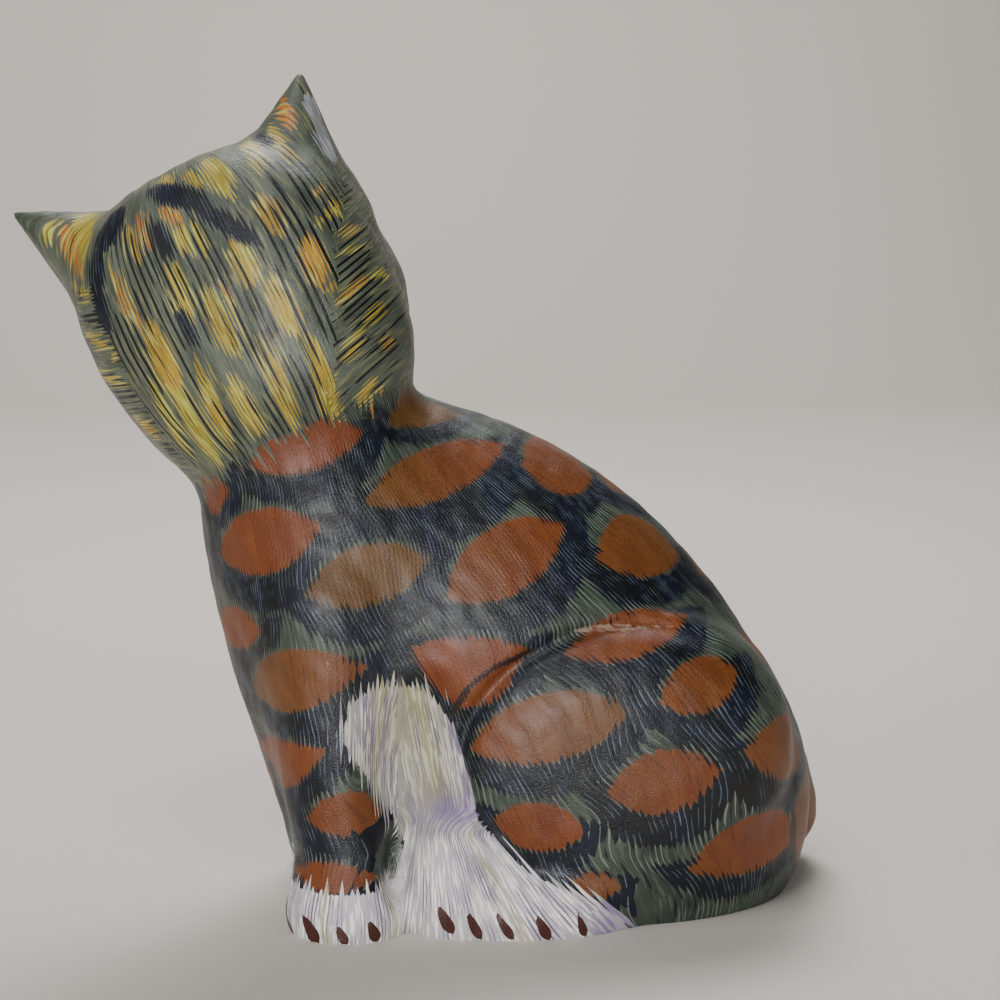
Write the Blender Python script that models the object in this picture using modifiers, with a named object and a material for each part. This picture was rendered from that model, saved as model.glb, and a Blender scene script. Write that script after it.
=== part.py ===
"""Carved wooden cat, sitting on its haunches with its head turned over its right shoulder.

The cat is one block of wood. Its body faces -X, its left flank faces -Y and it stands on z = 0.
The form is a field: a number at every point in space, below zero inside the wood. Each mass of
the body is a term of the field, and neighbouring masses flow into each other over a named blend.
A rough block is made from the same masses, and its points are then settled onto the field.
"""

from math import cos, radians, sin

import bmesh
import bpy
import numpy as np
from mathutils import Matrix

# Driving sizes, in metres
FIGURE_HEIGHT = 0.150
DESIGN_HEIGHT = 150.0
MM = FIGURE_HEIGHT / DESIGN_HEIGHT

# Everything carved is in millimetres on a figure 150 mm tall, so it follows FIGURE_HEIGHT

# Trunk: a long egg that leans from the rump up to the neck
TRUNK_CENTRE = (-4.7, 0.0, 40.2)
TRUNK_RADII = (62.0, 24.0, 39.0)
TRUNK_LEAN = 45.0
RUMP_CENTRE = (11.8, 0.0, 15.0)
RUMP_RADII = (36.6, 25.0, 31.0)
CHEST_TOP = (-40.9, 0.0, 73.8)
CHEST_TOP_RADIUS = 20.9
CHEST_FOOT = (-34.3, 0.0, 8.0)
CHEST_FOOT_RADIUS = 12.5
TRUNK_BLEND = 12.0

# Forelegs, the near one and its mirror image
SHOULDER = (-40.0, 11.0, 56.0)
SHOULDER_RADIUS = 13.0
WRIST = (-36.3, 15.0, 12.4)
WRIST_RADIUS = 9.5
PAW_CENTRE = (-36.2, 17.0, 3.0)
PAW_RADII = (11.4, 11.0, 10.5)
LEG_BLEND = 4.0

# Behind each foreleg: the hollow flank, and a deep notch down to the ground
HOLLOW_CENTRE = (-24.5, 27.0, 30.0)
HOLLOW_RADII = (9.0, 8.5, 17.0)
HOLLOW_LEAN = 8.0
HOLLOW_BLEND = 3.0
NOTCH_CENTRE = (-28.0, 26.0, 12.5)
NOTCH_RADII = (3.0, 9.0, 7.5)
NOTCH_BLEND = 1.6

# Hind legs: a thigh that stands proud of the flank, and a long foot under it
THIGH_CENTRE = (10.5, 9.0, 29.5)
THIGH_RADII = (34.0, 18.5, 28.5)
THIGH_FLATNESS = 2.8
THIGH_BLEND = 1.5
CREASE_CENTRE = (12.5, 30.0)
CREASE_RADII = (29.0, 23.5)
CREASE_SPAN = (55.0, 245.0)
CREASE_FADE = 25.0
CREASE_WIDTH = 1.4
CREASE_DEPTH = 1.3
HEEL_CENTRE = (-4.0, 18.5, 3.0)
HEEL_RADII = (20.0, 10.5, 9.0)
TOE_CENTRE = (-18.5, 18.0, 6.5)
TOE_RADII = (9.5, 9.5, 12.0)
FOOT_BLEND = 3.0

# Tail, round the rump and along the right flank
TAIL_PATH = ((36.0, 0.0, 38.0), (43.5, 3.0, 24.0), (48.5, 9.5, 9.5), (43.0, 20.0, 5.0),
             (31.0, 27.0, 4.2), (15.0, 30.0, 3.8), (-4.0, 29.5, 3.2))
TAIL_ROOT_RADIUS = 7.5
TAIL_TIP_RADIUS = 4.5
TAIL_STEPS = 26
TAIL_BLEND = 2.2

# Head: turned to the right until it looks back past the shoulder, and dropped to one side
HEAD_CENTRE = (-55.5, 0.0, 111.8)
HEAD_YAW = 15.0
HEAD_ROLL = 26.0
SKULL_CENTRE = (0.3, -1.0, -1.6)
SKULL_RADII = (27.8, 20.5, 24.9)
SKULL_SQUARENESS = 2.5
JAW_CENTRE = (1.0, -2.0, -17.7)
JAW_RADII = (25.2, 18.5, 19.0)
CHEEK_CENTRE = (14.5, 9.0, -9.0)
CHEEK_RADII = (11.5, 10.5, 10.5)
FACE_BLEND = 5.0
BRIDGE_TOP = (0.0, 13.5, 9.0)
BRIDGE_FOOT = (0.0, 21.5, -6.5)
BRIDGE_RADII = (6.0, 4.0)
WHISKER_PAD_CENTRE = (4.8, 18.5, -12.0)
WHISKER_PAD_RADII = (7.5, 8.5, 6.6)
CHIN_CENTRE = (0.0, 16.5, -18.0)
CHIN_RADII = (7.5, 8.0, 5.2)
NOSE_CENTRE = (0.0, 26.2, -8.0)
NOSE_RADII = (3.8, 2.4, 2.5)
MUZZLE_BLEND = 2.4
SOCKET_CENTRE = (11.0, 23.5, 1.8)
SOCKET_RADII = (7.6, 7.0, 5.6)
SOCKET_BLEND = 2.0
EYE_CENTRE = (11.0, 14.2, 1.5)
EYE_RADII = (6.4, 5.2, 4.6)
EYE_SLANT = 14.0
EYE_BLEND = 0.6
EAR_ROOT = (16.2, 1.0, 10.5)
RIGHT_EAR_TIP = (27.7, -1.5, 27.4)
LEFT_EAR_TIP = (-30.5, -1.5, 29.9)
EAR_RADII = (13.1, 0.8)
EAR_BLEND = 4.0
SCOOP_SPAN = (0.35, 1.0)
SCOOP_OFFSETS = ((8.5, 8.5, 0.0), (3.0, 3.0, -1.0))
SCOOP_RADII = (7.0, 2.4)
SCOOP_BLEND = 1.0
NECK_BLEND = 6.0

# How finely the block is worked
BLOCK_GRAIN = 1.3
BALLS_ALONG_LIMB = 12
SETTLING_PASSES = 6
SMOOTHING_PASSES = 3
TRIANGLE_BUDGET = 8800
SAW_TOLERANCE = 0.1


def smooth_union(first, second, blend):
    """The lesser of two fields, with a fillet about blend wide where they are nearly equal."""
    near = np.clip(0.5 + 0.5 * (second - first) / blend, 0.0, 1.0)
    return second + (first - second) * near - blend * near * (1.0 - near)


def smooth_cut(field, cutter, blend):
    """The field with the cutter taken away, its rim rounded over blend."""
    return -smooth_union(-field, cutter, blend)


def egg(points, centre, radii, lean=0.0, squareness=2.0):
    """Near distance to an egg with the given radii, leaning about Y by lean degrees."""
    away = points - np.array(centre)
    c, s = cos(radians(lean)), sin(radians(lean))
    away = np.stack([away[:, 0] * c - away[:, 2] * s, away[:, 1], away[:, 0] * s + away[:, 2] * c], axis=1)
    share = np.abs(away) / np.array(radii)
    level = np.power(np.power(share, squareness).sum(axis=1), 1.0 / squareness)
    return (level - 1.0) / egg_slope(share, radii)


def egg_slope(share, radii):
    """How fast an egg's level rises, per millimetre, at points given as shares of its radii."""
    slope = np.linalg.norm(share / np.array(radii), axis=1) / np.maximum(np.linalg.norm(share, axis=1), 1e-6)
    return np.maximum(slope, 1e-6)


def cushion(points, centre, radii, flatness):
    """Near distance to an egg whose sides, towards +Y and -Y, are flattened."""
    share = np.abs(points - np.array(centre)) / np.array(radii)
    face_on = np.hypot(share[:, 0], share[:, 2])
    level = np.power(face_on**flatness + share[:, 1]**flatness, 1.0 / flatness)
    return (level - 1.0) / egg_slope(share, radii)


def limb(points, start, end, start_radius, end_radius):
    """Distance to a round bar from start to end whose radius changes evenly."""
    start, end = np.array(start), np.array(end)
    along = end - start
    share = np.clip((points - start) @ along / (along @ along), 0.0, 1.0)
    nearest = start + share[:, None] * along
    return np.linalg.norm(points - nearest, axis=1) - (start_radius + (end_radius - start_radius) * share)


def smooth_path(points, steps):
    """Points evenly stepped along a Catmull-Rom curve through the given ones."""
    knots = np.array([points[0], *points, points[-1]])
    spans = len(points) - 1
    share = np.linspace(0.0, spans - 1e-6, steps)
    span = share.astype(int)
    t = (share - span)[:, None]
    before, start, end, after = (knots[span + k] for k in range(4))
    bend = 2.0 * before - 5.0 * start + 4.0 * end - after
    twist = 3.0 * start - before - 3.0 * end + after
    return start + 0.5 * ((end - before) * t + bend * t**2 + twist * t**3)


def tail_limbs():
    """The tail as a chain of short limbs, each a start, an end and their two radii."""
    path = smooth_path(TAIL_PATH, TAIL_STEPS)
    radii = np.linspace(TAIL_ROOT_RADIUS, TAIL_TIP_RADIUS, TAIL_STEPS)
    return [(path[i], path[i + 1], radii[i], radii[i + 1]) for i in range(TAIL_STEPS - 1)]


def arc_furrow(points, centre, radii, span, fade, width):
    """How deep a furrow is cut, from 0 to 1: it follows an ellipse seen from the side over a span of
    angles in degrees, and runs out over fade degrees at both ends."""
    across, up = points[:, 0] - centre[0], points[:, 2] - centre[1]
    angle = np.degrees(np.arctan2(up / radii[1], across / radii[0])) % 360.0
    nearest_across = radii[0] * np.cos(np.radians(angle))
    nearest_up = radii[1] * np.sin(np.radians(angle))
    distance = np.hypot(across - nearest_across, up - nearest_up)
    inside = np.minimum(angle - span[0], span[1] - angle) / fade
    return np.exp(-((distance / width) ** 2)) * np.clip(inside, 0.0, 1.0)


def head_axes():
    """The head's own axes in space: towards its right ear, forwards to its nose, and up."""
    forward = np.array([sin(radians(HEAD_YAW)), cos(radians(HEAD_YAW)), 0.0])
    level_right = np.array([cos(radians(HEAD_YAW)), -sin(radians(HEAD_YAW)), 0.0])
    plumb = np.array([0.0, 0.0, 1.0])
    c, s = cos(radians(HEAD_ROLL)), sin(radians(HEAD_ROLL))
    return np.array([level_right * c + plumb * s, forward, plumb * c - level_right * s])


def mirrored(points, axis):
    """Both sides of a symmetric form folded onto its positive side."""
    folded = points.copy()
    folded[:, axis] = np.abs(folded[:, axis])
    return folded


def body_field(points):
    side = mirrored(points, 1)
    field = egg(points, TRUNK_CENTRE, TRUNK_RADII, TRUNK_LEAN)
    field = smooth_union(field, egg(points, RUMP_CENTRE, RUMP_RADII), TRUNK_BLEND)
    chest = limb(points, CHEST_TOP, CHEST_FOOT, CHEST_TOP_RADIUS, CHEST_FOOT_RADIUS)
    field = smooth_union(field, chest, TRUNK_BLEND)
    foreleg = limb(side, SHOULDER, WRIST, SHOULDER_RADIUS, WRIST_RADIUS)
    foreleg = smooth_union(foreleg, egg(side, PAW_CENTRE, PAW_RADII), LEG_BLEND)
    field = smooth_union(field, foreleg, LEG_BLEND)
    hollow = egg(side, HOLLOW_CENTRE, HOLLOW_RADII, HOLLOW_LEAN)
    field = smooth_cut(field, hollow, HOLLOW_BLEND)
    thigh = cushion(side, THIGH_CENTRE, THIGH_RADII, THIGH_FLATNESS)
    field = smooth_union(field, thigh, THIGH_BLEND)
    crease = arc_furrow(side, CREASE_CENTRE, CREASE_RADII, CREASE_SPAN, CREASE_FADE, CREASE_WIDTH)
    flank = np.clip(side[:, 1] / THIGH_CENTRE[1] - 1.0, 0.0, 1.0)
    field = field + CREASE_DEPTH * crease * flank
    foot = smooth_union(egg(side, HEEL_CENTRE, HEEL_RADII), egg(side, TOE_CENTRE, TOE_RADII), LEG_BLEND)
    field = smooth_union(field, foot, FOOT_BLEND)
    field = smooth_cut(field, egg(side, NOTCH_CENTRE, NOTCH_RADII), NOTCH_BLEND)
    tail = np.full(len(points), np.inf)
    for piece in tail_limbs():
        tail = np.minimum(tail, limb(points, *piece))
    return smooth_union(field, tail, TAIL_BLEND)


def head_field(points):
    local = (points - np.array(HEAD_CENTRE)) @ head_axes().T
    side = mirrored(local, 0)
    field = egg(local, SKULL_CENTRE, SKULL_RADII, squareness=SKULL_SQUARENESS)
    field = smooth_union(field, egg(local, JAW_CENTRE, JAW_RADII), FACE_BLEND)
    field = smooth_union(field, egg(side, CHEEK_CENTRE, CHEEK_RADII), FACE_BLEND)
    field = smooth_union(field, limb(local, BRIDGE_TOP, BRIDGE_FOOT, *BRIDGE_RADII), FACE_BLEND)
    muzzle = egg(side, WHISKER_PAD_CENTRE, WHISKER_PAD_RADII)
    muzzle = smooth_union(muzzle, egg(local, CHIN_CENTRE, CHIN_RADII), MUZZLE_BLEND)
    muzzle = smooth_union(muzzle, egg(local, NOSE_CENTRE, NOSE_RADII), MUZZLE_BLEND)
    field = smooth_union(field, muzzle, MUZZLE_BLEND)
    field = smooth_cut(field, slanted_egg(side, SOCKET_CENTRE, SOCKET_RADII, EYE_SLANT), SOCKET_BLEND)
    field = smooth_union(field, slanted_egg(side, EYE_CENTRE, EYE_RADII, EYE_SLANT), EYE_BLEND)
    for root, tip in ear_lines():
        field = smooth_union(field, limb(local, root, tip, *EAR_RADII), EAR_BLEND)
    for root, tip in ear_lines():
        outward = (np.sign(root[0]), 1.0, 1.0)
        scoop = [root + (tip - root) * share + np.array(offset) * outward
                 for share, offset in zip(SCOOP_SPAN, SCOOP_OFFSETS)]
        field = smooth_cut(field, limb(local, *scoop, *SCOOP_RADII), SCOOP_BLEND)
    return field


def ear_lines():
    """Root and tip of the right ear and of the left, on the head's own axes."""
    left_root = np.array(EAR_ROOT) * (-1.0, 1.0, 1.0)
    return ((np.array(EAR_ROOT), np.array(RIGHT_EAR_TIP)), (left_root, np.array(LEFT_EAR_TIP)))


def slanted_egg(side, centre, radii, slant):
    """An egg lying across the face, its outer end raised by slant degrees."""
    c, s = cos(radians(slant)), sin(radians(slant))
    away = side - np.array(centre)
    turned = np.stack([away[:, 0] * c + away[:, 2] * s, away[:, 1], away[:, 2] * c - away[:, 0] * s], axis=1)
    return egg(turned, (0.0, 0.0, 0.0), radii)


def cat_field(points):
    """The whole figure: body and head run together at the neck."""
    return smooth_union(body_field(points), head_field(points), NECK_BLEND)


def add_egg(bm, centre, radii, lean=0.0, axes=None, origin=(0.0, 0.0, 0.0)):
    """A rough egg in the block, in the field's own millimetres."""
    frame = Matrix.Identity(4) if axes is None else Matrix(axes.T.tolist()).to_4x4()
    place = Matrix.Translation(origin) @ frame @ Matrix.Translation(centre)
    place = place @ Matrix.Rotation(radians(lean), 4, "Y") @ Matrix.Diagonal((*radii, 1.0))
    bmesh.ops.create_icosphere(bm, subdivisions=3, radius=1.0, matrix=place)


def rough_block():
    """Eggs and balls along the limbs, to be fused by a voxel remesh into one closed block."""
    bm = bmesh.new()
    add_egg(bm, TRUNK_CENTRE, TRUNK_RADII, TRUNK_LEAN)
    add_egg(bm, RUMP_CENTRE, RUMP_RADII)
    paired = ((PAW_CENTRE, PAW_RADII), (THIGH_CENTRE, THIGH_RADII),
              (HEEL_CENTRE, HEEL_RADII), (TOE_CENTRE, TOE_RADII))
    limbs = [(CHEST_TOP, CHEST_FOOT, CHEST_TOP_RADIUS, CHEST_FOOT_RADIUS)]
    for flip in (np.array([1.0, 1.0, 1.0]), np.array([1.0, -1.0, 1.0])):
        for centre, radii in paired:
            add_egg(bm, flip * centre, radii)
        limbs.append((flip * SHOULDER, flip * WRIST, SHOULDER_RADIUS, WRIST_RADIUS))
    middle = ((SKULL_CENTRE, SKULL_RADII), (JAW_CENTRE, JAW_RADII),
              (CHIN_CENTRE, CHIN_RADII), (NOSE_CENTRE, NOSE_RADII))
    cheeks = [(np.array([side, 1.0, 1.0]) * centre, radii) for side in (1.0, -1.0)
              for centre, radii in ((CHEEK_CENTRE, CHEEK_RADII), (WHISKER_PAD_CENTRE, WHISKER_PAD_RADII))]
    axes = head_axes()
    for centre, radii in (*middle, *cheeks):
        add_egg(bm, centre, radii, axes=axes, origin=HEAD_CENTRE)
    right_ear, left_ear = ear_lines()
    bridge = (BRIDGE_TOP, BRIDGE_FOOT)
    for line, radii in ((right_ear, EAR_RADII), (left_ear, EAR_RADII), (bridge, BRIDGE_RADII)):
        limbs.append((*(np.array(HEAD_CENTRE) + np.array(place) @ axes for place in line), *radii))
    for place, _, radius, _ in tail_limbs():
        add_egg(bm, place, (radius,) * 3)
    for start, end, start_radius, end_radius in limbs:
        for share in np.linspace(0.0, 1.0, BALLS_ALONG_LIMB):
            radius = start_radius + (end_radius - start_radius) * share
            place = np.array(start) + (np.array(end) - np.array(start)) * share
            add_egg(bm, place, (max(radius, BLOCK_GRAIN),) * 3)
    mesh = bpy.data.meshes.new("rough_block")
    bm.to_mesh(mesh)
    bm.free()
    return mesh


def modified(obj, kind, **settings):
    """The object with one modifier made and applied."""
    modifier = obj.modifiers.new(kind.lower(), kind)
    for name, value in settings.items():
        setattr(modifier, name, value)
    graph = bpy.context.evaluated_depsgraph_get()
    finished = bpy.data.meshes.new_from_object(obj.evaluated_get(graph))
    obj.modifiers.clear()
    obj.data = finished
    return obj


def settle(obj, passes):
    """Moves every point along the field's slope until it lies on the carved surface."""
    mesh = obj.data
    points = np.empty(len(mesh.vertices) * 3, np.float32)
    mesh.vertices.foreach_get("co", points)
    points = points.reshape(-1, 3).astype(float)
    step = 0.02
    for _ in range(passes):
        level = cat_field(points)
        slope = np.stack([cat_field(points + step * axis) - level for axis in np.eye(3)], axis=1) / step
        length = np.maximum((slope**2).sum(axis=1), 0.05)
        move = -(level / length)[:, None] * slope
        reach = np.maximum(np.linalg.norm(move, axis=1, keepdims=True), 1e-9)
        points += move * np.minimum(1.0, BLOCK_GRAIN * 1.5 / reach)
    mesh.vertices.foreach_set("co", points.astype(np.float32).ravel())
    mesh.update()
    return obj


def saw_sole(mesh):
    """Saws the figure off flat at the ground and closes the cut, which may have islands in it."""
    bm = bmesh.new()
    bm.from_mesh(mesh)
    block = [*bm.verts, *bm.edges, *bm.faces]
    down = (0.0, 0.0, -1.0)
    bmesh.ops.bisect_plane(bm, geom=block, dist=SAW_TOLERANCE, plane_no=down, clear_outer=True)
    rim = [edge for edge in bm.edges if edge.is_boundary]
    for vertex in {vertex for edge in rim for vertex in edge.verts}:
        vertex.co.z = 0.0
    bmesh.ops.triangle_fill(bm, edges=rim, use_beauty=True)
    bmesh.ops.triangulate(bm, faces=bm.faces)
    bmesh.ops.recalc_face_normals(bm, faces=bm.faces)
    bm.to_mesh(mesh)
    bm.free()


def carve_cat():
    cat = bpy.data.objects.new("cat", rough_block())
    collection.objects.link(cat)
    modified(cat, "REMESH", mode="VOXEL", voxel_size=BLOCK_GRAIN, adaptivity=0.0)
    settle(cat, SETTLING_PASSES)
    modified(cat, "SMOOTH", factor=0.5, iterations=SMOOTHING_PASSES)
    settle(cat, SETTLING_PASSES)
    modified(cat, "TRIANGULATE")
    modified(cat, "DECIMATE", ratio=TRIANGLE_BUDGET / len(cat.data.polygons))
    saw_sole(cat.data)
    cat.data.transform(Matrix.Scale(MM, 4))
    cat.data.shade_smooth()
    return cat


def painted_wood():
    """Rust brown over a grey green ground, under a satin varnish."""
    material = bpy.data.materials.new("painted_wood")
    material.use_nodes = True
    shader = material.node_tree.nodes["Principled BSDF"]
    shader.inputs["Base Color"].default_value = (0.16, 0.09, 0.045, 1.0)
    shader.inputs["Roughness"].default_value = 0.42
    shader.inputs["Metallic"].default_value = 0.0
    return material


for leftover in list(bpy.data.objects):
    bpy.data.objects.remove(leftover)
collection = bpy.data.collections.new("wooden_cat")
bpy.context.scene.collection.children.link(collection)
cat = carve_cat()
cat.data.materials.append(painted_wood())
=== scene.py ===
"""Carved and painted wooden cat, in metres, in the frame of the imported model."""

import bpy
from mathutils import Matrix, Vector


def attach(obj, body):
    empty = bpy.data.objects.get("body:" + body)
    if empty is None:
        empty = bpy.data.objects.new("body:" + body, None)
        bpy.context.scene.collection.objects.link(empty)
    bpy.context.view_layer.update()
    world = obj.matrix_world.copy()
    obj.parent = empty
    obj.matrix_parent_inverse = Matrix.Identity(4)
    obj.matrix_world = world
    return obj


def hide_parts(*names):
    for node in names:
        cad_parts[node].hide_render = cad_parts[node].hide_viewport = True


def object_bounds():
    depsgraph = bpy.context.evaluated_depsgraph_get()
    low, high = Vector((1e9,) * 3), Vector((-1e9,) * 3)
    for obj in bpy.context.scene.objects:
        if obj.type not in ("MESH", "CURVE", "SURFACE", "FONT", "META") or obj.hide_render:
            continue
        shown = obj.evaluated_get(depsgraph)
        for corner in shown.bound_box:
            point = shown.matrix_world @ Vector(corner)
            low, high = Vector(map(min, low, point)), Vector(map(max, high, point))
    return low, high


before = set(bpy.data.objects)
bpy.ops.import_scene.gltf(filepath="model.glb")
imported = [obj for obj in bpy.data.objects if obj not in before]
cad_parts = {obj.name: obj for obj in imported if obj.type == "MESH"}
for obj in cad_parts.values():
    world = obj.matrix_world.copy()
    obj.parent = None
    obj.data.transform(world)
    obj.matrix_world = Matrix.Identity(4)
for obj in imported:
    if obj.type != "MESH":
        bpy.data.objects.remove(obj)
cad_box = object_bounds()

from copy import copy
from math import cos, radians, sin

import bmesh
import bpy
import numpy as np
from mathutils import Vector

# The carved block. One piece of close-grained wood, cut with a knife and sanded: the body sits on
# its haunches and the head looks back over the right shoulder. It is worked in millimetres, as a
# field that is below zero inside the wood, from the same masses as the solid that it stands for.
MM = 0.001
TRUNK = ((-4.7, 0.0, 40.2), (62.0, 24.0, 39.0), 45.0)
RUMP = ((11.8, 0.0, 15.0), (36.6, 25.0, 31.0))
CHEST = ((-40.9, 0.0, 73.8), (-34.3, 0.0, 8.0), 20.9, 12.5)
TRUNK_BLEND = 12.0
FORELEG = ((-40.0, 11.0, 56.0), (-36.3, 15.0, 12.4), 13.0, 9.5)
PAW = ((-36.2, 17.0, 3.0), (11.4, 11.0, 10.5))
LEG_BLEND = 4.0
HOLLOW = ((-24.5, 27.0, 30.0), (9.0, 8.5, 17.0), 8.0)
HOLLOW_BLEND = 3.0
NOTCH = ((-28.0, 26.0, 12.5), (3.0, 9.0, 7.5))
NOTCH_BLEND = 1.6
THIGH = ((10.5, 9.0, 29.5), (34.0, 18.5, 28.5), 2.8)
THIGH_BLEND = 1.5
CREASE = ((12.5, 30.0), (29.0, 23.5), (55.0, 245.0), 25.0, 1.4)
CREASE_DEPTH = 1.3
HEEL = ((-4.0, 18.5, 3.0), (20.0, 10.5, 9.0))
TOES = ((-18.5, 18.0, 6.5), (9.5, 9.5, 12.0))
FOOT_BLEND = 3.0
TAIL_PATH = (
    (36.0, 0.0, 38.0), (43.5, 3.0, 24.0), (48.5, 9.5, 9.5), (43.0, 20.0, 5.0), (31.0, 27.0, 4.2),
    (15.0, 30.0, 3.8), (-4.0, 29.5, 3.2),
)
TAIL_RADII = (7.5, 4.5)
TAIL_REACH = (-20.0, 60.0)
TAIL_STEPS = 26
TAIL_BLEND = 2.2
HEAD_CENTRE = (-55.5, 0.0, 111.8)
HEAD_YAW = 15.0
HEAD_ROLL = 26.0
SKULL = ((0.3, -1.0, -1.6), (27.8, 20.5, 24.9))
SKULL_SQUARENESS = 2.5
JAW = ((1.0, -2.0, -17.7), (25.2, 18.5, 19.0))
CHEEK = ((14.5, 9.0, -9.0), (11.5, 10.5, 10.5))
FACE_BLEND = 5.0
BRIDGE = ((0.0, 13.5, 9.0), (0.0, 21.5, -6.5), 6.0, 4.0)
WHISKER_PAD = ((4.8, 18.5, -12.0), (7.5, 8.5, 6.6))
CHIN = ((0.0, 16.5, -18.0), (7.5, 8.0, 5.2))
NOSE = ((0.0, 26.2, -8.0), (3.8, 2.4, 2.5))
MUZZLE_BLEND = 2.4
SOCKET = ((11.0, 23.5, 1.8), (7.6, 7.0, 5.6))
SOCKET_BLEND = 2.0
EYE = ((11.0, 14.2, 1.5), (6.4, 5.2, 4.6))
EYE_SLANT = 14.0
EYE_BLEND = 0.6
EAR_ROOT = (16.2, 1.0, 10.5)
RIGHT_EAR_TIP = (27.7, -1.5, 27.4)
LEFT_EAR_TIP = (-30.5, -1.5, 29.9)
EAR_RADII = (13.1, 0.8)
EAR_BLEND = 4.0
SCOOP_SPAN = (0.35, 1.0)
SCOOP_OFFSETS = ((8.5, 8.5, 0.0), (3.0, 3.0, -1.0))
SCOOP_RADII = (7.0, 2.4)
SCOOP_BLEND = 1.0
NECK_BLEND = 6.0

# What only the fine surface shows
GRAIN = 0.7
SETTLING = 3
SKIRT = 2.0
SAW_TOLERANCE = 0.08
FAR = 1000.0
OUTSIDE = -20.0


def smooth_union(first, second, blend):
    """The lesser of two fields, with a fillet about blend wide where they are nearly equal."""
    near = np.clip(0.5 + 0.5 * (second - first) / blend, 0.0, 1.0)
    return second + (first - second) * near - blend * near * (1.0 - near)


def merged(field, *masses):
    """A field with other masses run into it one after another, each over its own blend."""
    for mass, blend in masses:
        field = smooth_union(field, mass, blend)
    return field


def smooth_cut(field, cutter, blend):
    """The field with the cutter taken away, its rim rounded over blend."""
    return -smooth_union(-field, cutter, blend)


def egg_slope(share, radii):
    """How fast an egg's level rises per millimetre: |share / radii| over |share|."""
    slope = np.linalg.norm(share / np.array(radii), axis=1)
    return np.maximum(slope / np.maximum(np.linalg.norm(share, axis=1), 1e-6), 1e-6)


def egg(points, centre, radii, lean=0.0, squareness=2.0):
    """Near distance to an egg, the sum of its shares to a power less one, leaning about Y."""
    x, y, z = (points - np.array(centre)).T
    c, s = cos(radians(lean)), sin(radians(lean))
    share = np.abs(np.stack([x * c - z * s, y, x * s + z * c], axis=1)) / np.array(radii)
    level = np.power(np.power(share, squareness).sum(axis=1), 1.0 / squareness)
    return (level - 1.0) / egg_slope(share, radii)


def cushion(points, centre, radii, flatness):
    """Near distance to an egg whose sides, towards +Y and -Y, are flattened."""
    share = np.abs(points - np.array(centre)) / np.array(radii)
    face_on = np.hypot(share[:, 0], share[:, 2])
    level = np.power(face_on**flatness + share[:, 1]**flatness, 1.0 / flatness)
    return (level - 1.0) / egg_slope(share, radii)


def limb(points, start, end, start_radius, end_radius):
    """Distance to the nearest point of a line, less a radius that changes evenly along it."""
    start, end = np.array(start), np.array(end)
    along = end - start
    share = np.clip((points - start) @ along / (along @ along), 0.0, 1.0)
    off = np.linalg.norm(points - start - share[:, None] * along, axis=1)
    return off - (start_radius + (end_radius - start_radius) * share)


def smooth_path(points, steps):
    """Points evenly stepped along a Catmull-Rom curve through the given ones."""
    knots = np.array([points[0], *points, points[-1]])
    share = np.linspace(0.0, len(points) - 1 - 1e-6, steps)
    span = share.astype(int)
    t = (share - span)[:, None]
    before, start, end, after = (knots[span + k] for k in range(4))
    bend = 2.0 * before - 5.0 * start + 4.0 * end - after
    twist = 3.0 * start - before - 3.0 * end + after
    return start + 0.5 * ((end - before) * t + bend * t**2 + twist * t**3)


def tail_field(points):
    """The least distance to the short limbs that follow the tail's path."""
    path = smooth_path(TAIL_PATH, TAIL_STEPS)
    girth = np.linspace(*TAIL_RADII, TAIL_STEPS)
    tail = np.full(len(points), FAR)
    close = (points[:, 0] > TAIL_REACH[0]) & (points[:, 2] < TAIL_REACH[1])
    for i in range(TAIL_STEPS - 1):
        link = limb(points[close], path[i], path[i + 1], girth[i], girth[i + 1])
        tail[close] = np.minimum(tail[close], link)
    return tail


def arc_furrow(points, centre, sizes, span, fade, width):
    """A bell curve of the distance to an ellipse seen from the side, over a span of angles."""
    across, up = points[:, 0] - centre[0], points[:, 2] - centre[1]
    angle = np.degrees(np.arctan2(up / sizes[1], across / sizes[0])) % 360.0
    off_x = across - sizes[0] * np.cos(np.radians(angle))
    off_z = up - sizes[1] * np.sin(np.radians(angle))
    inside = np.minimum(angle - span[0], span[1] - angle) / fade
    return np.exp(-((np.hypot(off_x, off_z) / width) ** 2)) * np.clip(inside, 0.0, 1.0)


def head_axes():
    """The head's own axes in space: towards its right ear, forwards to its nose, and up."""
    forward = np.array([sin(radians(HEAD_YAW)), cos(radians(HEAD_YAW)), 0.0])
    level_right = np.array([cos(radians(HEAD_YAW)), -sin(radians(HEAD_YAW)), 0.0])
    plumb = np.array([0.0, 0.0, 1.0])
    c, s = cos(radians(HEAD_ROLL)), sin(radians(HEAD_ROLL))
    return np.array([level_right * c + plumb * s, forward, plumb * c - level_right * s])


def on_head(points):
    """Points in the head's own millimetres: right, forward and up from its centre."""
    return (points - np.array(HEAD_CENTRE)) @ head_axes().T


def mirrored(points, axis):
    """Both sides of a symmetric form folded onto its positive side."""
    folded = points.copy()
    folded[:, axis] = np.abs(folded[:, axis])
    return folded


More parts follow.
